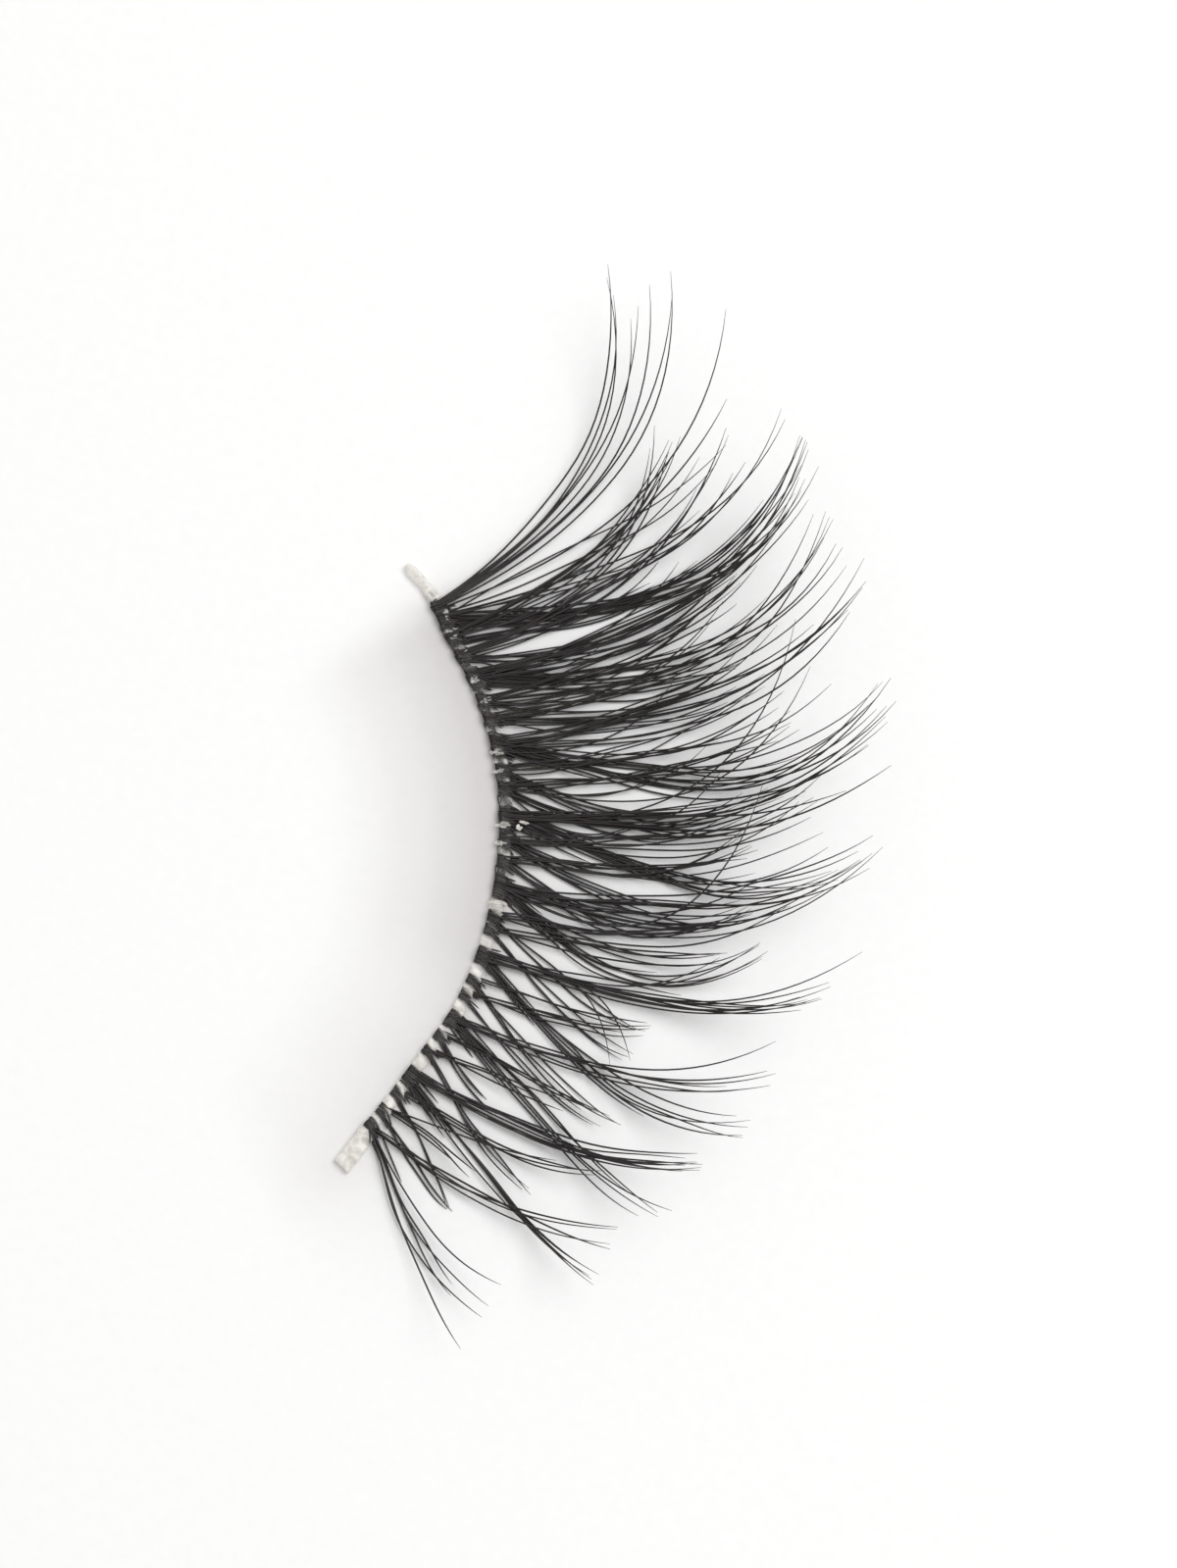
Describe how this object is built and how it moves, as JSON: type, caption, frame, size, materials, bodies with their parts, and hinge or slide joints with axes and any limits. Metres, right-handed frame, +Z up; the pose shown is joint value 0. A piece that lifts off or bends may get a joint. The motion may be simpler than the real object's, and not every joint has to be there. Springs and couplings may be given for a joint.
{
  "type": "false eyelash strip",
  "caption": "Curved clear band with knotted lash locks that cross as open diamonds, fan out and curl upwards, longest at the outer corner.",
  "frame": {"origin": "middle of the strip's bounding box in plan, at the height of the surface that it lies on", "axes": "+Y along the band towards the outer corner of the eye, +X from the eyelid towards the lash tips, +Z up, the way the lashes curl"},
  "size_m": [0.0236, 0.0508, 0.0067],
  "materials": {
    "clear_plastic": "milky clear, satin",
    "lash_fibre": "near-black fibre with a soft sheen"
  },
  "bodies": {
    "root": {"clear_band": "clear_plastic", "lash_lock_01": "lash_fibre", "lash_lock_02": "lash_fibre", "lash_lock_03": "lash_fibre", "lash_lock_04": "lash_fibre", "lash_lock_05": "lash_fibre", "lash_lock_06": "lash_fibre", "lash_lock_07": "lash_fibre", "lash_lock_08": "lash_fibre", "lash_lock_09": "lash_fibre", "lash_lock_10": "lash_fibre", "lash_lock_11": "lash_fibre", "lash_lock_12": "lash_fibre", "lash_lock_13": "lash_fibre", "lash_lock_14": "lash_fibre", "lash_lock_15": "lash_fibre", "lash_lock_16": "lash_fibre", "lash_lock_17": "lash_fibre", "lash_lock_18": "lash_fibre", "lash_lock_19": "lash_fibre", "lash_lock_20": "lash_fibre", "lash_lock_21": "lash_fibre", "lash_lock_22": "lash_fibre", "lash_lock_23": "lash_fibre", "lash_lock_24": "lash_fibre", "lash_lock_25": "lash_fibre"}
  },
  "joints": []
}
